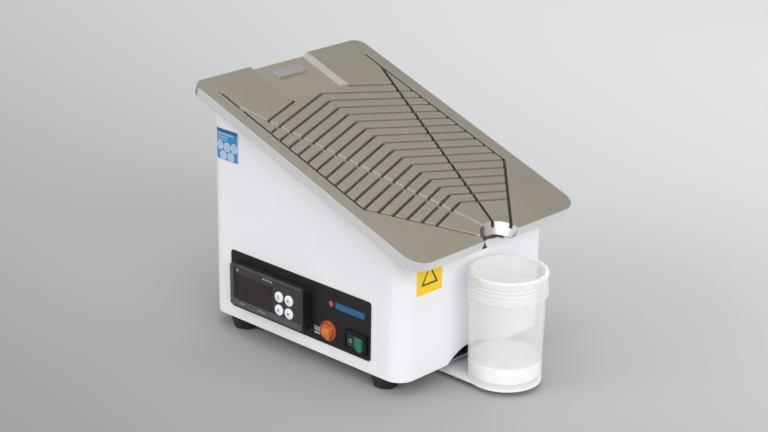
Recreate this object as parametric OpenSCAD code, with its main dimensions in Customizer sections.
// Heated, inclined wax trimming plate with a drain spout, a collecting jar and a
// temperature controller.  Millimetres, +Z up, bench plane at z = 0, +X towards the
// drain end, -Y is the control panel side.

/* [Housing] */
// Length of the housing, high end to drain end
housing_l = 189; // [180:1:195]
// Width of the housing, control side to far side
housing_w = 146; // [140:1:152]
// Radius of the two vertical corners on the control side
corner_r = 13; // [10:1:14]
// Radius of the two vertical corners at the back
back_corner_r = 4; // [3:0.5:14]
// Height of the rubber feet
foot_h = 10.5; // [9.5:0.5:13]

/* [Hot plate] */
// Length of the plate down its slope
plate_l = 230; // [228:1:233]
// Width of the plate
plate_w = 168; // [164:1:176]
// Thickness of the plate
plate_t = 7.2; // [7:0.1:9]
// Slope of the plate in degrees
plate_tilt = 19.75; // [19.5:0.05:20]
// Height of the plate's top face at its high edge
plate_high_z = 184.4; // [183:0.5:190]
// Width of the drainage grooves
groove_w = 2.4; // [1.8:0.1:3]
// Depth of the drainage grooves
groove_d = 2.2; // [1.5:0.1:2.8]

/* [Jar] */
// Height of the collecting jar
jar_h = 78.5; // [72:0.5:80]
// Outer radius of the jar's body at its foot
jar_foot_r = 25.2; // [24:0.1:25.4]
// Depth of set wax in the jar
wax_h = 13.5; // [6:0.5:40]

/* [Hidden] */
$fn = 64;

// ---- small fits ----
eps = 0.01;          // keeps cutting tools proud of the faces they cut
thread_gap = 0.04;   // radial gap between a screw and its nut
hole_gap = 0.15;     // radial gap between a screw and a plain hole
slide_gap = 0.08;    // radial gap round a sliding button

// ---- housing ----
wall = 1.5;
flange_in = 12;                     // how far the flanges reach inwards
front_y = -housing_w / 2;
high_x = -housing_l / 2;
low_x = housing_l / 2;
base_top_z = foot_h + wall;
flange_top_z = base_top_z + wall;
base_gap = 0.3;
house_top = 220;                    // taller than the sloping cut
notch_half = 25;                    // half width of the arch over the tray
notch_rise = 9.5;
notch_r = (notch_half * notch_half + notch_rise * notch_rise) / (2 * notch_rise);

// ---- hot plate frame: u down the slope, v across, w out of the top face ----
plate_high_x = -98.7;
plate_corner_r = 14;
plate_high_r = 9;                   // the two corners at the high edge are tighter
gasket_t = 1;
gasket_w = -plate_t - gasket_t;
top_flange_w = gasket_w - wall;
recess_l = 45.5;
recess_top = 28.5;
recess_floor = 25.4;
recess_d = 3.2;
bar_u = [8, 17];
bar_half = 13.5;
bar_h = 1.6;

// ---- grooves ----
chevron_count = 17;
chevron_first_u = 38.1;
chevron_pitch = 9.48;
chevron_fall = 24.3 / 72.5;         // fall in u for each mm out from the middle
side_v = 72.5;
side_u = [18.7, 166.5];
drain_end = [227, 13.5];
drain_rate = (drain_end[0] - side_u[1]) / (side_v - drain_end[1]);
drain_w = 2;
diagonal_from = [38, 72];
diagonal_to = [221, 3.5];
diagonal_w = 2.5;
diagonal_d = 3.4;
spout_u = 233.4;
spout_top_r = 18;
spout_low_r = 12.2;
spout_lip = 3;                      // lip under the plate round the drain hole
spout_lip_r = 15.4;
spout_lip_end = 226;                // the lip stops short of the low edge

// ---- screws ----
m4 = 2;
m3 = 1.5;
nut4_r = 4.04;
nut4_h = 3.2;
nut3_r = 3.18;
nut3_h = 2.4;

earth_at = [10, 42];
foot_xy = [70.5, 61.5];
foot_top_r = 11.4;
foot_low_r = 8.8;
foot_bead = 1.6;                    // rounding of the foot's lower edge
foot_bore_r = 4.6;                  // room for the screw's head, open below
foot_bore_h = 6.5;
foot_seat_z = 5.5;                  // underside of the screw's shank
base_screw_at = [[0, 65.5], [0, -65.5], [87, 35], [87, -35], [-87, 35], [-87, -35]];
plate_stud_at = [[15.7, 45], [15.7, -45], [200.5, 45], [200.5, -45], [108, 65.5], [108, -65.5]];
stud_depth = 3.6;

// ---- heater stack, all in the plate frame ----
heater_u = 110;
heater_l = 148;
heater_wid = 100;
mat_t = 1.5;
clamp_t = 2;
pad_t = 8;
mat_w = -plate_t - mat_t;
clamp_w = mat_w - clamp_t;
pad_w = clamp_w - pad_t;
clamp_stud_at = [[50, 38], [50, -38], [170, 38], [170, -38], [110, 38], [110, -38]];
cutout_at = [140, 0];
sensor_at = [80, 0];
sensor_size = [20, 12, 9];
probe_r = 2.5;

// ---- control panel ----
fascia_x = [-71.9, 66.8];
fascia_z = [19.8, 63.3];
fascia_t = 0.8;
fascia_y = front_y - fascia_t;
bezel_c = [-28.3, 41.5];
bezel_size = [74, 32];
bezel_front_y = front_y - 9;
bezel_skin = 2;
bezel_corner_r = 3;
bezel_end_r = 1.4;                  // rounding of the bezel's ends, in plan
bezel_edge_r = 1.2;                 // rounding of its top and bottom edges
face_x = [-61, 6.5];                // shallow face panel inside the bezel's lips
face_z = [31.1, 55.9];
face_d = 0.4;
seal_t = 0.5;
case_size = [70, 28];
case_back_y = front_y + 52;
case_wall = 1.4;
panel_hole = [71.2, 29.2];
window_c = [-39.1, 40.9];
window_size = [37.4, 19.2];
window_rim = 1.2;                   // the window is held by a rim behind the bezel
window_rim_t = 0.9;
button_r = 3.95;
button_c = [-8.9, 40.8];
button_pitch = [9.9, 9.8];
button_travel = 0.6;
button_proud = 0.7;
button_dome_r = 16;
button_rim = 0.6;
button_stem_r = 1.7;
stem_end = 5.2;                     // depth of the key switches' tops behind the bezel
board_y = fascia_y;
board_t = 1.6;
board_w = 25;
display_size = [34, 18, 4.4];
tact_size = 6;
clip_size = [3, 18, 16];
lamp_c = [27.5, 30.8];
lamp_r = 7.3;
lamp_body_r = 6;
lamp_bore_r = 5.45;
lamp_depth = 24;
tab_size = [0.8, 4.8];              // thickness and width of a push-on tab
switch_c = [54, 30.4];
switch_frame = [21, 15];
switch_body_size = [19, 12.8];
switch_frame_t = 2;
rocker_throw = 22;
rocker_tip = [8.1, 2.2];
rocker_z = 9.4;
pivot_y = fascia_y + 1;
pivot_r = 1;

// ---- mains inlet, on the high end ----
inlet_c = [22, 46];
inlet_flange = [50, 36];
inlet_flange_t = 2.5;
inlet_body_size = [30, 33];
inlet_depth = 24;
inlet_screw_half = 20;
socket_size = [24.2, 16];
socket_z = -6.5;
socket_depth = 16;
drawer_z = 10;
drawer_size = [22, 8];
drawer_depth = 20;

// ---- jar and tray ----
jar_x = 124.7;
tray_top_z = 5.2;
tray_t = 1.5;
tray_half = 24.6;
tray_end_r = 25.6;
tray_from_x = 38;
tray_step_x = 62;
tray_screw_at = [[50, 14], [50, -14]];
jar_neck_z = 62.8;
jar_neck_r = 26.4;
jar_bead_r = 27.7;
jar_wall = 1.3;
jar_seat = 0.02;                    // the jar stands this far clear of the tray

// ================= helpers =================

// Puts children in the hot plate's own frame
module on_plate(u = 0, v = 0, w = 0) {
    translate([plate_high_x, 0, plate_high_z])
        rotate([0, plate_tilt, 0])
            translate([u, v, w])
                children();
}

// Puts children on the control side: x along the panel, y up, z out of the panel
module on_front(x, z, y) {
    translate([x, y, z])
        rotate([90, 0, 0])
            children();
}

// Puts children on the high end: x along +Y reversed, y up, z out of the wall
module on_rear(y, z, x) {
    translate([x, y, z])
        rotate([90, 0, -90])
            children();
}

module rounded(l, w, r) {
    square([l - 2 * r, w], center = true);
    square([l, w - 2 * r], center = true);
    for (x = [-1, 1])
        for (y = [-1, 1])
            translate([x * (l / 2 - r), y * (w / 2 - r)])
                circle(r);
}

module ring(r_out, r_in, h) {
    difference() {
        cylinder(r = r_out, h = h);
        translate([0, 0, -1])
            cylinder(r = r_in, h = h + 2);
    }
}

module hex_nut(r, h, bore) {
    difference() {
        cylinder(r = r, h = h, $fn = 6);
        translate([0, 0, -1])
            cylinder(r = bore + thread_gap, h = h + 2);
    }
}

// Pan head screw: the head is under z = 0, the shank goes up; cross recess in the head
module pan_screw(r, length) {
    head_r = r * 1.9;
    head_h = r * 1.25;
    difference() {
        union() {
            cylinder(r = r, h = length);
            translate([0, 0, -head_h])
                cylinder(r1 = head_r * 0.8, r2 = head_r, h = head_h * 0.45);
            translate([0, 0, -head_h * 0.56])
                cylinder(r = head_r, h = head_h * 0.56);
        }
        for (a = [0, 90])
            rotate([0, 0, a])
                translate([0, 0, -head_h])
                    cube([head_r * 1.1, r * 0.42, head_h], center = true);
    }
}

// A wire: straight runs with ball joints between them
module wire(points, r) {
    for (i = [0 : len(points) - 2]) {
        d = points[i + 1] - points[i];
        n = norm(d);
        translate(points[i])
            rotate([0, acos(d[2] / n), atan2(d[1], d[0])])
                cylinder(r = r, h = n, $fn = 24);
    }
    for (i = [1 : 1 : len(points) - 2])
        translate(points[i])
            sphere(r, $fn = 24);
}

// ================= housing =================

// Outline of the housing, drawn in by inset; a small r gives all four corners that radius
module housing_outline(inset, r) {
    l = housing_l - 2 * inset;
    w = housing_w - 2 * inset;
    rounded(l, w, r);
    translate([0, w / 4])
        rounded(l, w / 2, min(r, back_corner_r - min(inset, wall + base_gap)));
}

module housing_prism(inset, z0, z1, r) {
    translate([0, 0, z0])
        linear_extrude(z1 - z0)
            housing_outline(inset, r);
}

// Everything below the plane w in the plate frame
module below_plate(w) {
    on_plate(plate_l / 2, 0, w - 150)
        cube([500, 400, 300], center = true);
}

module panel_cuts(y_from, depth) {
    on_front(bezel_c[0], bezel_c[1], y_from)
        translate([-panel_hole[0] / 2, -panel_hole[1] / 2, 0])
            cube([panel_hole[0], panel_hole[1], depth]);
    on_front(lamp_c[0], lamp_c[1], y_from)
        cylinder(r = lamp_body_r + 0.2, h = depth);
    on_front(switch_c[0], switch_c[1], y_from)
        translate([-switch_body_size[0] / 2 - 0.1, -switch_body_size[1] / 2 - 0.1, 0])
            cube([switch_body_size[0] + 0.2, switch_body_size[1] + 0.2, depth]);
}

module housing_shell() {
    color([0.93, 0.93, 0.94])
        difference() {
            intersection() {
                housing_prism(0, foot_h, house_top, corner_r);
                below_plate(gasket_w);
            }
            // space under the bottom flange for the base plate
            housing_prism(wall, foot_h - 1, base_top_z, corner_r - wall);
            // inside, between the flanges
            intersection() {
                housing_prism(wall, flange_top_z, house_top, corner_r - wall);
                below_plate(top_flange_w);
            }
            // openings inside both flanges
            housing_prism(wall + flange_in, foot_h - 1, house_top, 4);
            panel_cuts(front_y + wall + 1, wall + 2);
            // arch in the low end, where the tray comes out
            translate([low_x - wall - flange_in - 1, 0, foot_h + notch_rise - notch_r])
                rotate([0, 90, 0])
                    cylinder(r = notch_r, h = wall + flange_in + 2, $fn = 128);
            // mains inlet
            on_rear(inlet_c[0], inlet_c[1], high_x + wall + 1) {
                translate([-inlet_body_size[0] / 2 - 0.2, -inlet_body_size[1] / 2 - 0.2, 0])
                    cube([inlet_body_size[0] + 0.4, inlet_body_size[1] + 0.4, wall + 2]);
                for (s = [-1, 1])
                    translate([s * inlet_screw_half, 0, 0])
                        cylinder(r = m3 + hole_gap, h = wall + 2);
            }
            for (p = base_screw_at)
                translate([p[0], p[1], foot_h])
                    cylinder(r = m3 + hole_gap, h = 5);
            // clearance for the nuts over the feet
            for (x = [-1, 1])
                for (y = [-1, 1])
                    translate([x * foot_xy[0], y * foot_xy[1], foot_h])
                        cylinder(r = 5, h = 5);
            for (p = plate_stud_at)
                on_plate(p[0], p[1], top_flange_w - 1)
                    cylinder(r = m4 + hole_gap, h = wall + 2);
        }
}

vent_rows = 9;
vent_size = [34, 3.2];
vent_pitch = 8;

module base_plate() {
    inset = wall + base_gap;
    color([0.78, 0.79, 0.8])
        difference() {
            housing_prism(inset, foot_h, base_top_z, corner_r - inset);
            for (p = base_screw_at)
                translate([p[0], p[1], foot_h - 1])
                    cylinder(r = m3 + hole_gap, h = wall + 2);
            for (x = [-1, 1])
                for (y = [-1, 1])
                    translate([x * foot_xy[0], y * foot_xy[1], foot_h - 1])
                        cylinder(r = m4 + hole_gap, h = wall + 2);
            for (p = tray_screw_at)
                translate([p[0], p[1], foot_h - 1])
                    cylinder(r = m4 + hole_gap, h = wall + 2);
            for (i = [0 : vent_rows - 1])
                translate([-42, (i - (vent_rows - 1) / 2) * vent_pitch, foot_h - 1])
                    linear_extrude(wall + 2)
                        rounded(vent_size[0], vent_size[1], vent_size[1] / 2 - 0.05);
            translate([earth_at[0], earth_at[1], foot_h - 1])
                cylinder(r = m4 + hole_gap, h = wall + 2);
        }
}

module base_screws() {
    color([0.72, 0.72, 0.74])
        for (p = base_screw_at)
            translate([p[0], p[1], foot_h])
                pan_screw(m3, 6.2);
}

module base_nuts() {
    color([0.72, 0.72, 0.74])
        for (p = base_screw_at)
            translate([p[0], p[1], flange_top_z])
                hex_nut(nut3_r, nut3_h, m3);
}

module rubber_feet() {
    color([0.07, 0.07, 0.07])
        for (x = [-1, 1])
            for (y = [-1, 1])
                translate([x * foot_xy[0], y * foot_xy[1], 0])
                    difference() {
                        union() {
                            translate([0, 0, foot_bead])
                                cylinder(r1 = foot_low_r, r2 = foot_top_r, h = foot_h - foot_bead);
                            cylinder(r = foot_low_r - foot_bead, h = foot_bead + eps);
                            translate([0, 0, foot_bead])
                                rotate_extrude()
                                    translate([foot_low_r - foot_bead, 0])
                                        intersection() {
                                            circle(foot_bead);
                                            translate([-foot_bead, -foot_bead])
                                                square([2 * foot_bead, foot_bead]);
                                        }
                        }
                        translate([0, 0, -1])
                            cylinder(r = m4 + hole_gap, h = foot_h + 2);
                        translate([0, 0, -1])
                            cylinder(r = foot_bore_r, h = foot_bore_h);
                    }
}

module foot_screws() {
    color([0.72, 0.72, 0.74])
        for (x = [-1, 1])
            for (y = [-1, 1])
                translate([x * foot_xy[0], y * foot_xy[1], foot_seat_z])
                    pan_screw(m4, foot_h - foot_seat_z + wall + nut4_h + 1);
}

module foot_nuts() {
    color([0.72, 0.72, 0.74])
        for (x = [-1, 1])
            for (y = [-1, 1])
                translate([x * foot_xy[0], y * foot_xy[1], base_top_z])
                    hex_nut(nut4_r, nut4_h, m4);
}

// ================= hot plate =================

function chevron_u(i, v) = chevron_first_u + i * chevron_pitch + chevron_fall * v;

// Where chevron i ends: the side groove, or the groove that runs to the spout
function chevron_end(i) =
    min(side_v, (side_u[1] + drain_rate * side_v - chevron_u(i, 0)) / (drain_rate + chevron_fall));

// A straight groove of width w from a to b, both [u, v], square ended
module groove(a, b, w) {
    d = (b - a) / norm(b - a);
    n = [-d[1], d[0]] * w / 2;
    polygon([a + n, a - n, b - n, b + n]);
}

module chevron_half(i, from_v) {
    half = groove_w / 2 * sqrt(1 + chevron_fall * chevron_fall);
    to_v = i == 0 ? 64 : chevron_end(i);
    polygon([
        [chevron_u(i, from_v) - half, from_v], [chevron_u(i, from_v) + half, from_v],
        [chevron_u(i, to_v) + half, to_v], [chevron_u(i, to_v) - half, to_v]
    ]);
}

module groove_plan() {
    for (s = [-1, 1])
        scale([1, s]) {
            for (i = [0 : chevron_count - 1])
                chevron_half(i, i == 0 ? 27 : 0);
            groove([side_u[0], side_v], [side_u[1] + 0.6, side_v], drain_w);
            groove([side_u[1] - 0.4, side_v + 0.4], drain_end + [2, -2], groove_w);
        }
}

module diagonal_plan() {
    for (s = [-1, 1])
        scale([1, s])
            groove(diagonal_from, diagonal_to + [6, -2.2], diagonal_w);
}

module plate_outline() {
    translate([plate_l / 2, 0])
        rounded(plate_l, plate_w, plate_corner_r);
    translate([plate_l / 4, 0])
        rounded(plate_l / 2, plate_w, plate_high_r);
}

module hot_plate() {
    color([0.6, 0.58, 0.55])
        difference() {
            union() {
                on_plate(0, 0, -plate_t)
                    linear_extrude(plate_t)
                        plate_outline();
                difference() {
                    on_plate(spout_u, 0, -plate_t - spout_lip)
                        cylinder(r = spout_lip_r, h = spout_lip + 1);
                    on_plate(spout_lip_end, -40, -plate_t - 10)
                        cube([40, 80, 10]);
                }
            }
            // recess at the high edge, with sloping sides, round a raised bar
            difference() {
                on_plate(-1, 0, 0)
                    rotate([90, 0, 90])
                        linear_extrude(recess_l + 1)
                            polygon([
                                [-recess_top - 0.5, 0.5], [-recess_floor, -recess_d],
                                [recess_floor, -recess_d], [recess_top + 0.5, 0.5]
                            ]);
                on_plate(bar_u[0], -bar_half, -recess_d - 1)
                    cube([bar_u[1] - bar_u[0], 2 * bar_half, 1 + bar_h]);
            }
            on_plate(0, 0, -groove_d)
                linear_extrude(groove_d + 1)
                    groove_plan();
            on_plate(0, 0, -diagonal_d)
                linear_extrude(diagonal_d + 1)
                    diagonal_plan();
            for (s = [-1, 1])
                on_plate(side_u[0], s * side_v, -groove_d)
                    cylinder(r = 1.5, h = 5);
            // spout: a funnel, then a short bore, both cut open by the low edge
            on_plate(spout_u, 0, -plate_t)
                cylinder(r1 = spout_low_r, r2 = spout_top_r, h = plate_t, $fn = 96);
            on_plate(spout_u, 0, -eps)
                cylinder(r = spout_top_r, h = 5, $fn = 96);
            on_plate(spout_u, 0, -plate_t - spout_lip - 1)
                cylinder(r = spout_low_r, h = spout_lip + 1 + eps, $fn = 96);
            on_plate(plate_l, -40, -40)
                cube([40, 80, 80]);
            for (p = concat(plate_stud_at, clamp_stud_at))
                on_plate(p[0], p[1], -plate_t - 1)
                    cylinder(r = m4 + thread_gap, h = stud_depth + 1);
        }
}

module plate_gasket() {
    color([0.9, 0.9, 0.88])
        difference() {
            intersection() {
                housing_prism(1, foot_h, house_top, corner_r - 1);
                below_plate(-plate_t);
            }
            below_plate(gasket_w);
            housing_prism(wall + flange_in, foot_h - 1, house_top, 4);
            for (p = plate_stud_at)
                on_plate(p[0], p[1], gasket_w - 1)
                    cylinder(r = m4 + hole_gap, h = gasket_t + 2);
        }
}

module plate_studs() {
    color([0.75, 0.75, 0.77])
        for (p = plate_stud_at)
            on_plate(p[0], p[1], top_flange_w - nut4_h - 2)
                cylinder(r = m4, h = nut4_h + 2 + wall + gasket_t + stud_depth - 0.1);
}

module plate_nuts() {
    color([0.75, 0.75, 0.77])
        for (p = plate_stud_at)
            on_plate(p[0], p[1], top_flange_w - nut4_h)
                hex_nut(nut4_r, nut4_h, m4);
}

// ================= heater stack =================

module stack_layer(l, w, t, at_w, stud_r) {
    difference() {
        on_plate(heater_u, 0, at_w)
            linear_extrude(t)
                rounded(l, w, 4);
        for (p = clamp_stud_at)
            on_plate(p[0], p[1], at_w - 1)
                cylinder(r = stud_r, h = t + 2);
    }
}

module heater_mat() {
    color([0.75, 0.3, 0.15])
        stack_layer(heater_l, heater_wid, mat_t, mat_w, m4 + hole_gap);
}

module heater_clamp() {
    color([0.8, 0.81, 0.82])
        difference() {
            stack_layer(heater_l, heater_wid, clamp_t, clamp_w, m4 + hole_gap);
            for (s = [-1, 1])
                on_plate(cutout_at[0], s * 12, clamp_w - 1)
                    cylinder(r = m3 + thread_gap, h = clamp_t + 0.6);
        }
}

module insulation_pad() {
    color([0.9, 0.88, 0.8])
        difference() {
            stack_layer(heater_l - 4, heater_wid - 4, pad_t, pad_w, 5.2);
            on_plate(cutout_at[0], 0, pad_w - 1)
                linear_extrude(pad_t + 2)
                    rounded(20, 32, 4);
            on_plate(sensor_at[0], 0, pad_w - 1)
                linear_extrude(pad_t + 2)
                    rounded(48, 16, 4);
        }
}

module clamp_studs() {
    color([0.75, 0.75, 0.77])
        for (p = clamp_stud_at)
            on_plate(p[0], p[1], clamp_w - nut4_h - 3)
                cylinder(r = m4, h = nut4_h + 3 + clamp_t + mat_t + stud_depth - 0.1);
}

module clamp_nuts() {
    color([0.75, 0.75, 0.77])
        for (p = clamp_stud_at)
            on_plate(p[0], p[1], clamp_w - nut4_h)
                hex_nut(nut4_r, nut4_h, m4);
}

module sensor_block() {
    color([0.82, 0.83, 0.84])
        on_plate(sensor_at[0], sensor_at[1], clamp_w - sensor_size[2])
            difference() {
                translate([-sensor_size[0] / 2, -sensor_size[1] / 2, 0])
                    cube(sensor_size);
                translate([-20, 0, sensor_size[2] / 2])
                    rotate([0, 90, 0])
                        cylinder(r = probe_r + 0.05, h = 40);
            }
}

module temperature_probe() {
    color([0.7, 0.71, 0.72])
        on_plate(sensor_at[0] - 12, sensor_at[1], clamp_w - sensor_size[2] / 2)
            rotate([0, 90, 0]) {
                cylinder(r = probe_r, h = 28);
                sphere(probe_r);
            }
}

module thermal_cutout() {
    color([0.25, 0.2, 0.16])
        on_plate(cutout_at[0], cutout_at[1], clamp_w)
            difference() {
                union() {
                    translate([0, 0, -1.2])
                        cylinder(r = 8, h = 1.2);
                    translate([0, 0, -7.2])
                        cylinder(r = 7, h = 6.1);
                    translate([-3.5, -15.5, -1.2])
                        cube([7, 31, 0.8]);
                    for (s = [-1, 1])
                        translate([-3.1, s * 4.5 - 0.4, -14])
                            cube([6.2, 0.8, 7]);
                }
                for (s = [-1, 1])
                    translate([0, s * 12, -3])
                        cylinder(r = m3 + hole_gap, h = 4);
            }
}

module cutout_screws() {
    color([0.72, 0.72, 0.74])
        for (s = [-1, 1])
            on_plate(cutout_at[0], s * 12, clamp_w - 1.2)
                pan_screw(m3, 2.6);
}

// ================= control panel =================

module fascia_panel() {
    l = fascia_x[1] - fascia_x[0];
    h = fascia_z[1] - fascia_z[0];
    color([0.16, 0.16, 0.17])
        difference() {
            on_front((fascia_x[0] + fascia_x[1]) / 2, (fascia_z[0] + fascia_z[1]) / 2, front_y)
                linear_extrude(fascia_t)
                    rounded(l, h, 2.2);
            panel_cuts(front_y + 1, fascia_t + 2);
        }
}

module button_at(col, row) {
    on_front(
        button_c[0] + col * button_pitch[0] / 2,
        button_c[1] + row * button_pitch[1] / 2,
        bezel_front_y
    )
        children();
}

// Bezel: rounded ends in plan, softened top and bottom edges, hollow behind
module controller_bezel() {
    depth = -(bezel_front_y - (fascia_y - seal_t));
    deep = 40;
    color([0.24, 0.24, 0.24])
        difference() {
            intersection() {
                on_front(bezel_c[0], bezel_c[1], fascia_y - seal_t)
                    linear_extrude(depth)
                        rounded(bezel_size[0], bezel_size[1], bezel_corner_r);
                translate([bezel_c[0], bezel_front_y + deep / 2, bezel_c[1] - bezel_size[1]])
                    linear_extrude(2 * bezel_size[1])
                        rounded(bezel_size[0], deep, bezel_end_r);
                translate([bezel_c[0] - bezel_size[0], bezel_front_y + deep / 2, bezel_c[1]])
                    rotate([0, 90, 0])
                        linear_extrude(2 * bezel_size[0])
                            rounded(bezel_size[1], deep, bezel_edge_r);
            }
            on_front(bezel_c[0], bezel_c[1], fascia_y + 1)
                translate([-panel_hole[0] / 2, -panel_hole[1] / 2, 0])
                    cube([panel_hole[0], panel_hole[1], depth - bezel_skin + seal_t + 1]);
            // shallow face panel, then the window opening and the button holes
            on_front((face_x[0] + face_x[1]) / 2, (face_z[0] + face_z[1]) / 2, bezel_front_y + face_d)
                linear_extrude(2)
                    rounded(face_x[1] - face_x[0], face_z[1] - face_z[0], 1.5);
            on_front(window_c[0], window_c[1], bezel_front_y + 5)
                linear_extrude(8)
                    rounded(window_size[0] + 0.2, window_size[1] + 0.2, 0.8);
            for (col = [-1, 1])
                for (row = [-1, 1])
                    button_at(col, row)
                        translate([0, 0, -3])
                            cylinder(r = button_r + slide_gap, h = 5);
        }
}

module controller_gasket() {
    color([0.1, 0.1, 0.1])
        on_front(bezel_c[0], bezel_c[1], fascia_y)
            linear_extrude(seal_t)
                difference() {
                    rounded(bezel_size[0] - 0.6, bezel_size[1] - 0.6, bezel_corner_r - 0.3);
                    square([panel_hole[0], panel_hole[1]], center = true);
                }
}

module display_window() {
    face_t = bezel_skin - face_d - 0.2;
    color([0.2, 0.13, 0.13])
        on_front(window_c[0], window_c[1], bezel_front_y + bezel_skin) {
            linear_extrude(face_t)
                rounded(window_size[0], window_size[1], 0.7);
            translate([0, 0, -window_rim_t])
                linear_extrude(window_rim_t)
                    rounded(window_size[0] + 2 * window_rim, window_size[1] + 2 * window_rim, 0.7);
        }
}

module controller_case() {
    depth = case_back_y - (bezel_front_y + 3.2);
    color([0.13, 0.13, 0.13])
        on_front(bezel_c[0], bezel_c[1], case_back_y)
            difference() {
                translate([-case_size[0] / 2, -case_size[1] / 2, 0])
                    cube([case_size[0], case_size[1], depth]);
                translate([-case_size[0] / 2 + case_wall, -case_size[1] / 2 + case_wall, case_wall])
                    cube([case_size[0] - 2 * case_wall, case_size[1] - 2 * case_wall, depth]);
                // window for the terminal block
                translate([-26, -9, -1])
                    cube([52, 11, 4]);
                // ventilation slots in the top
                for (i = [-4 : 4])
                    translate([i * 6, case_size[1] / 2 - 3, 20])
                        cube([2, 6, 16], center = true);
            }
}

module display_board() {
    color([0.1, 0.35, 0.18])
        on_front(bezel_c[0], bezel_c[1], board_y + board_t)
            translate([-case_size[0] / 2 + case_wall + 0.3, -board_w / 2, 0])
                cube([case_size[0] - 2 * case_wall - 0.6, board_w, board_t]);
}

module display_module() {
    color([0.85, 0.83, 0.8])
        on_front(window_c[0], window_c[1], board_y)
            translate([-display_size[0] / 2, -display_size[1] / 2, 0])
                cube(display_size);
}

tact_h = board_y - bezel_front_y - stem_end;   // height of the key switches on the board

module tact_switches() {
    color([0.12, 0.12, 0.13])
        for (col = [-1, 1])
            for (row = [-1, 1])
                button_at(col, row)
                    translate([-tact_size / 2, -tact_size / 2, bezel_front_y - board_y])
                        cube([tact_size, tact_size, tact_h]);
}

module controller_terminals() {
    color([0.16, 0.4, 0.26])
        on_front(bezel_c[0], key_row_z, case_back_y + 6)
            difference() {
                translate([-25.5, -5, 0])
                    cube([51, 10, 16]);
                for (i = [-4 : 4])
                    translate([i * key_pitch, 0, -1])
                        cylinder(r = 2, h = 8);
            }
}

module case_clips() {
    color([0.2, 0.2, 0.2])
        for (s = [-1, 1])
            translate([bezel_c[0] + s * (case_size[0] / 2 + 1.6), front_y + wall + 9, bezel_c[1]]) {
                cube(clip_size, center = true);
                translate([s * 2.5, -7, 0])
                    cube([5, 4, clip_size[2]], center = true);
            }
}

// A domed cap with a retaining flange and a stem, pressed in along +Y
module push_button(col, row) {
    color([0.95, 0.95, 0.96])
        button_at(col, row) {
            intersection() {
                translate([0, 0, -bezel_skin - 0.1])
                    cylinder(r = button_r, h = bezel_skin + 0.1 + button_proud);
                translate([0, 0, button_proud - button_dome_r])
                    sphere(button_dome_r, $fn = 96);
            }
            translate([0, 0, -bezel_skin - 0.9])
                cylinder(r = button_r + button_rim, h = 0.85);
            translate([0, 0, -stem_end + button_travel + 0.1])
                cylinder(r = button_stem_r, h = 3);
        }
}

module button_set() {
    push_button(-1, 1);
}

module button_up() {
    push_button(1, 1);
}

module button_function() {
    push_button(-1, -1);
}

module button_down() {
    push_button(1, -1);
}

// Indicator lamp: a ringed lens on a flange, with a nut behind the wall
module lamp_lens() {
    color([0.85, 0.35, 0.08])
        on_front(lamp_c[0], lamp_c[1], fascia_y) {
            rotate_extrude()
                polygon([
                    [0, -3], [5.4, -3], [5.4, 0], [lamp_r, 0], [lamp_r, 1.3], [lamp_r - 0.5, 1.8],
                    [lamp_r - 0.9, 1.8], [lamp_r - 1.2, 1.4], [5.8, 1.4], [5.5, 3.2], [5, 3.7],
                    [3.9, 3.7], [3.6, 3.3], [3.1, 3.3], [2.8, 3.7], [0, 3.9]
                ]);
        }
}

module lamp_body() {
    color([0.15, 0.15, 0.15])
        on_front(lamp_c[0], lamp_c[1], fascia_y) {
            difference() {
                translate([0, 0, -lamp_depth])
                    cylinder(r = lamp_body_r, h = lamp_depth - 0.1);
                translate([0, 0, -3.2])
                    cylinder(r = lamp_bore_r, h = 5);
            }
            for (s = [-1, 1])
                translate([s * 3 - tab_size[0] / 2, -tab_size[1] / 2, -lamp_depth - 7])
                    cube([tab_size[0], tab_size[1], 7.5]);
        }
}

module lamp_nut() {
    color([0.15, 0.15, 0.15])
        on_front(lamp_c[0], lamp_c[1], front_y + wall + 3)
            hex_nut(9, 3, lamp_body_r);
}

module switch_body() {
    color([0.06, 0.06, 0.06])
        difference() {
            union() {
                on_front(switch_c[0], switch_c[1], fascia_y)
                    linear_extrude(switch_frame_t)
                        rounded(switch_frame[0], switch_frame[1], 1.2);
                on_front(switch_c[0], switch_c[1], fascia_y + 17)
                    translate([-switch_body_size[0] / 2, -switch_body_size[1] / 2, 0])
                        cube([switch_body_size[0], switch_body_size[1], 17 + eps]);
            }
            // pocket the rocker swings in
            on_front(switch_c[0], switch_c[1], fascia_y + 9)
                translate([-8.95, -rocker_z / 2 - 0.15, 0])
                    cube([17.9, rocker_z + 0.3, 20]);
            translate([switch_c[0], pivot_y, switch_c[1] - rocker_z / 2 - 1])
                cylinder(r = pivot_r + 0.05, h = rocker_z + 2);
        }
}

// Rocker: a shallow V turned so that its left half lies level and its right half stands
// out; it swings on two short pins about a vertical axis
module switch_rocker() {
    half = rocker_throw / 2;
    tip_x = rocker_tip[0] * cos(half) - rocker_tip[1] * sin(half);
    tip_y = -rocker_tip[0] * sin(half) - rocker_tip[1] * cos(half);
    valley = tip_y + tip_x * tan(half);
    color([0.1, 0.45, 0.3])
        translate([switch_c[0], pivot_y, switch_c[1]])
            rotate([0, 0, -half]) {
                translate([0, 0, -rocker_z / 2])
                    linear_extrude(rocker_z)
                        polygon([
                            [-tip_x, tip_y], [0, valley], [tip_x, tip_y],
                            [7.2, 1.8], [4, 3.2], [-4, 3.2], [-7.2, 1.8]
                        ]);
                translate([0, 0, -rocker_z / 2 - 0.9])
                    cylinder(r = pivot_r, h = rocker_z + 1.8);
            }
}

module switch_tabs() {
    color([0.85, 0.75, 0.45])
        on_front(switch_c[0], switch_c[1], fascia_y + 17)
            for (p = [[-5, -3], [-5, 3], [3, -3], [3, 3]])
                translate([p[0] - tab_size[0] / 2, p[1] - tab_size[1] / 2, -8])
                    cube([tab_size[0], tab_size[1], 7.95]);
}

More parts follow.
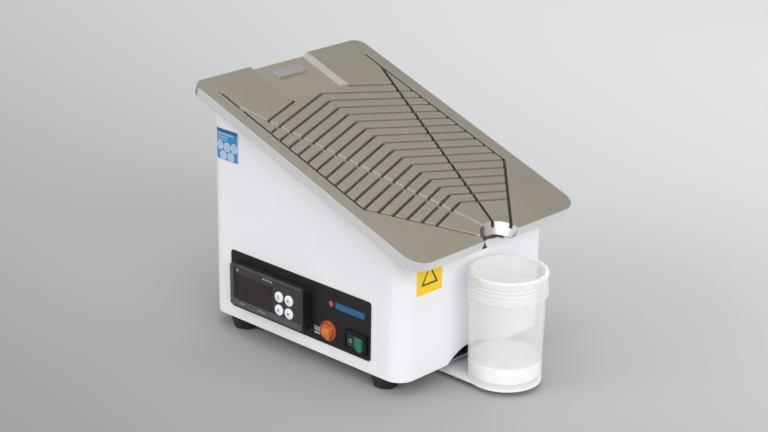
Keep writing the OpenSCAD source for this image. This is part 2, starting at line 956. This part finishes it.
// ================= mains inlet =================

module inlet_body() {
    color([0.08, 0.08, 0.08])
        on_rear(inlet_c[0], inlet_c[1], high_x)
            difference() {
                union() {
                    linear_extrude(inlet_flange_t)
                        rounded(inlet_flange[0], inlet_flange[1], 6);
                    translate([-inlet_body_size[0] / 2, -inlet_body_size[1] / 2, -inlet_depth])
                        cube([inlet_body_size[0], inlet_body_size[1], inlet_depth + eps]);
                }
                translate([0, socket_z, inlet_flange_t - socket_depth])
                    linear_extrude(socket_depth + 1)
                        polygon([
                            [-socket_size[0] / 2, -socket_size[1] / 2],
                            [socket_size[0] / 2, -socket_size[1] / 2],
                            [socket_size[0] / 2, socket_size[1] / 2 - 5],
                            [socket_size[0] / 2 - 5, socket_size[1] / 2],
                            [-socket_size[0] / 2 + 5, socket_size[1] / 2],
                            [-socket_size[0] / 2, socket_size[1] / 2 - 5]
                        ]);
                translate([-drawer_size[0] / 2 - 0.1, drawer_z - drawer_size[1] / 2 - 0.1,
                    inlet_flange_t - drawer_depth - 0.5])
                    cube([drawer_size[0] + 0.2, drawer_size[1] + 0.2, drawer_depth + 2]);
                for (s = [-1, 1])
                    translate([s * inlet_screw_half, 0, -1])
                        cylinder(r = m3 + hole_gap, h = inlet_flange_t + 2);
                // seats for the three pins
                for (p = inlet_pin_at)
                    translate([p[0] - 1.02, p[1] + socket_z - 2.02, -inlet_depth - 1])
                        cube([2.04, 4.04, inlet_depth]);
            }
}

inlet_pin_at = [[-7, -2], [7, -2], [0, 2]];

module inlet_pins() {
    color([0.8, 0.8, 0.78])
        on_rear(inlet_c[0], inlet_c[1], high_x)
            for (p = inlet_pin_at)
                translate([p[0] - 1, p[1] + socket_z - 2, -inlet_depth - 8])
                    cube([2, 4, inlet_depth + 8 - 2]);
}

module inlet_screws() {
    color([0.72, 0.72, 0.74])
        for (s = [-1, 1])
            translate([high_x - inlet_flange_t, inlet_c[0] + s * inlet_screw_half, inlet_c[1]])
                rotate([0, 90, 0])
                    pan_screw(m3, inlet_flange_t + wall + nut3_h + 1);
}

module inlet_nuts() {
    color([0.72, 0.72, 0.74])
        for (s = [-1, 1])
            translate([high_x + wall, inlet_c[0] + s * inlet_screw_half, inlet_c[1]])
                rotate([0, 90, 0])
                    hex_nut(nut3_r, nut3_h, m3);
}

fuse_r = 2.6;
fuse_l = 20;

module fuse_drawer() {
    color([0.1, 0.1, 0.1])
        on_rear(inlet_c[0], inlet_c[1] + drawer_z, high_x - inlet_flange_t)
            difference() {
                union() {
                    translate([-drawer_size[0] / 2, -drawer_size[1] / 2, -drawer_depth])
                        cube([drawer_size[0], drawer_size[1], drawer_depth]);
                    linear_extrude(1)
                        rounded(drawer_size[0] + 1.6, drawer_size[1] + 1.6, 1);
                }
                // finger notch
                translate([-3, -drawer_size[1] / 2 - 2, 0.4])
                    cube([6, 3.2, 3]);
                // cradle open to the top, where the fuse lies
                translate([-fuse_l / 2 - 0.2, -fuse_r - 0.1, -13])
                    cube([fuse_l + 0.4, drawer_size[1], 2 * fuse_r + 0.4]);
            }
}

module fuse() {
    color([0.85, 0.86, 0.88])
        on_rear(inlet_c[0], inlet_c[1] + drawer_z, high_x - inlet_flange_t)
            translate([-fuse_l / 2, 0, -13 + fuse_r + 0.2])
                rotate([0, 90, 0])
                    union() {
                        cylinder(r = fuse_r - 0.15, h = fuse_l);
                        cylinder(r = fuse_r, h = 5);
                        translate([0, 0, fuse_l - 5])
                            cylinder(r = fuse_r, h = 5);
                    }
}

// ================= labels =================

label_t = 0.15;

module info_label() {
    color([0.2, 0.55, 0.78])
        intersection() {
            difference() {
                housing_prism(-label_t, 100, 180, corner_r + label_t);
                housing_prism(0, 99, 181, corner_r);
            }
            translate([-87, front_y - 1, 129])
                cube([23.4, 10, 23.4]);
        }
}

module caution_label() {
    color([0.98, 0.82, 0.1])
        translate([low_x, -58.6, 71.2])
            cube([label_t, 25.2, 25.2]);
}

// ================= jar and tray =================

module jar_tray() {
    color([0.93, 0.93, 0.94])
        difference() {
            union() {
                translate([0, tray_half, 0])
                    rotate([90, 0, 0])
                        linear_extrude(2 * tray_half)
                            polygon([
                                [tray_from_x, foot_h - tray_t],
                                [tray_step_x, foot_h - tray_t],
                                [tray_step_x + 4, tray_top_z - tray_t],
                                [jar_x, tray_top_z - tray_t],
                                [jar_x, tray_top_z],
                                [tray_step_x + 4.8, tray_top_z],
                                [tray_step_x + 0.8, foot_h],
                                [tray_from_x, foot_h]
                            ]);
                translate([jar_x, 0, tray_top_z - tray_t])
                    cylinder(r = tray_end_r, h = tray_t, $fn = 96);
            }
            for (p = tray_screw_at)
                translate([p[0], p[1], foot_h - tray_t - 1])
                    cylinder(r = m4 + hole_gap, h = tray_t + 2);
        }
}

module tray_screws() {
    color([0.72, 0.72, 0.74])
        for (p = tray_screw_at)
            translate([p[0], p[1], foot_h - tray_t])
                pan_screw(m4, tray_t + wall + nut4_h + 1);
}

module tray_nuts() {
    color([0.72, 0.72, 0.74])
        for (p = tray_screw_at)
            translate([p[0], p[1], base_top_z])
                hex_nut(nut4_r, nut4_h, m4);
}

jar_edge = 2.4;
jar_floor = 1.6;
jar_rim_h = 2.4;
jar_collar_h = 3.4;
thread_z = [68.2, 71.2, 74.2];
thread_bead_r = 1.05;

// Outer radius of the plain body at height z above the jar's foot
function jar_r(z) = jar_foot_r + (jar_neck_r - jar_foot_r) * min(z, jar_neck_z) / jar_neck_z;

module collecting_jar() {
    color([0.93, 0.95, 0.96, 0.5])
        translate([jar_x, 0, tray_top_z + jar_seat])
            rotate_extrude($fn = 96)
                difference() {
                    union() {
                        polygon([
                            [0, 0], [jar_foot_r - jar_edge, 0], [jar_r(jar_edge), jar_edge],
                            [jar_neck_r, jar_neck_z], [jar_neck_r, jar_h - jar_rim_h],
                            [jar_bead_r, jar_h - jar_rim_h], [jar_bead_r, jar_h - 0.5],
                            [jar_bead_r - 0.5, jar_h], [0, jar_h]
                        ]);
                        // rounded foot
                        translate([jar_foot_r - jar_edge + 0.05, jar_edge])
                            circle(jar_edge);
                        // collar under the neck and three thread beads
                        translate([jar_neck_r - 0.5, jar_neck_z - 0.6])
                            square([jar_bead_r - jar_neck_r + 0.5, jar_collar_h]);
                        for (z = thread_z)
                            translate([jar_neck_r - 0.25, z])
                                circle(thread_bead_r, $fn = 24);
                    }
                    // cavity
                    polygon([
                        [-1, jar_floor], [jar_r(0) - jar_wall - 2, jar_floor],
                        [jar_r(4) - jar_wall, jar_floor + 2],
                        [jar_neck_r - jar_wall, jar_neck_z],
                        [jar_neck_r - jar_wall, jar_h + 1], [-1, jar_h + 1]
                    ]);
                    translate([-30, -1])
                        square([30, jar_h + 5]);
                }
}

module collected_wax() {
    gap = 0.02;
    color([0.97, 0.97, 0.96])
        translate([jar_x, 0, tray_top_z + jar_seat])
            rotate_extrude($fn = 96)
                polygon([
                    [0, jar_floor + gap], [jar_r(0) - jar_wall - 2.05, jar_floor + gap],
                    [jar_r(4) - jar_wall - gap, jar_floor + 2 + gap],
                    [jar_r(jar_floor + wax_h) - jar_wall - gap, jar_floor + wax_h],
                    [0, jar_floor + wax_h]
                ]);
}

// ================= wiring =================

module earth_stud() {
    color([0.85, 0.75, 0.45])
        translate([earth_at[0], earth_at[1], foot_h - 2.2]) {
            cylinder(r = 4, h = 2.2);
            cylinder(r = m4, h = 16);
            translate([0, 0, 2.2 + wall])
                cylinder(r = nut4_r, h = nut4_h, $fn = 6);
        }
}

lead_r = 1;
lead_gap = 0.5;                     // wires stop this far from the tab they serve
pin_end_x = high_x + inlet_depth + 8 + lead_gap;
key_row_z = bezel_c[1] - 3.5;       // height of the terminal row
key_pitch = 5.6;
key_end_y = case_back_y + 0.5;

// A point given in the hot plate's own frame
function plate_point(u, v, w) = [
    plate_high_x + u * cos(plate_tilt) + w * sin(plate_tilt),
    v,
    plate_high_z - u * sin(plate_tilt) + w * cos(plate_tilt)
];

module mains_leads() {
    pin_z = inlet_c[1] + socket_z - 2;
    tab_z = switch_c[1] - 3;
    tab_y = fascia_y + 25 + lead_gap;
    color([0.15, 0.15, 0.2])
        for (s = [-1, 1]) {
            y = inlet_c[0] + s * 7;
            z = 22 + s * 3;
            x = switch_c[0] - 1 + s * 4;
            turn_x = pin_end_x + 8 + s * 3;
            wire([
                [pin_end_x, y, pin_z], [turn_x, y, pin_z], [turn_x, y, z], [x, y, z],
                [x, tab_y + 6, z], [x, tab_y + 6, tab_z], [x, tab_y, tab_z]
            ], lead_r);
        }
}

module heater_leads() {
    color([0.8, 0.1, 0.1])
        for (s = [-1, 1]) {
            x = bezel_c[0] + s * key_pitch;
            y = s * 4.5;
            tab = plate_point(cutout_at[0], y, clamp_w - 14);
            low_z = tab[2] - 20 + s * 3;
            wire([
                [x, key_end_y, key_row_z], [x, y, key_row_z], [x, y, low_z],
                [tab[0], y, low_z], [tab[0], y, tab[2] - 3 * lead_gap]
            ], lead_r);
        }
}

module sensor_lead() {
    x = bezel_c[0] - 3 * key_pitch;
    tail = plate_point(sensor_at[0] + 16, 0, clamp_w - sensor_size[2] / 2);
    color([0.6, 0.6, 0.6])
        wire([
            [x, key_end_y, key_row_z], [x, 0, key_row_z], [x, 0, tail[2] - 26],
            [tail[0] + 2 * lead_r, 0, tail[2] - 26], [tail[0] + 2 * lead_r, 0, tail[2]]
        ], lead_r);
}

module earth_lead() {
    z = inlet_c[1] + socket_z + 2;
    x = pin_end_x + 16;
    color([0.3, 0.6, 0.2])
        wire([
            [pin_end_x, inlet_c[0], z], [x, inlet_c[0], z], [x, earth_at[1], z],
            [earth_at[0], earth_at[1], z], [earth_at[0], earth_at[1], foot_h + 15]
        ], lead_r);
}

housing_shell();
base_plate();
base_screws();
base_nuts();
rubber_feet();
foot_screws();
foot_nuts();
hot_plate();
plate_gasket();
plate_studs();
plate_nuts();
heater_mat();
heater_clamp();
insulation_pad();
clamp_studs();
clamp_nuts();
sensor_block();
temperature_probe();
thermal_cutout();
cutout_screws();
fascia_panel();
controller_bezel();
controller_gasket();
display_window();
controller_case();
display_board();
display_module();
tact_switches();
controller_terminals();
case_clips();
button_set();
button_up();
button_function();
button_down();
lamp_lens();
lamp_body();
lamp_nut();
switch_body();
switch_rocker();
switch_tabs();
inlet_body();
inlet_pins();
inlet_screws();
inlet_nuts();
fuse_drawer();
fuse();
info_label();
caution_label();
jar_tray();
tray_screws();
tray_nuts();
collecting_jar();
collected_wax();
earth_stud();
mains_leads();
heater_leads();
sensor_lead();
earth_lead();
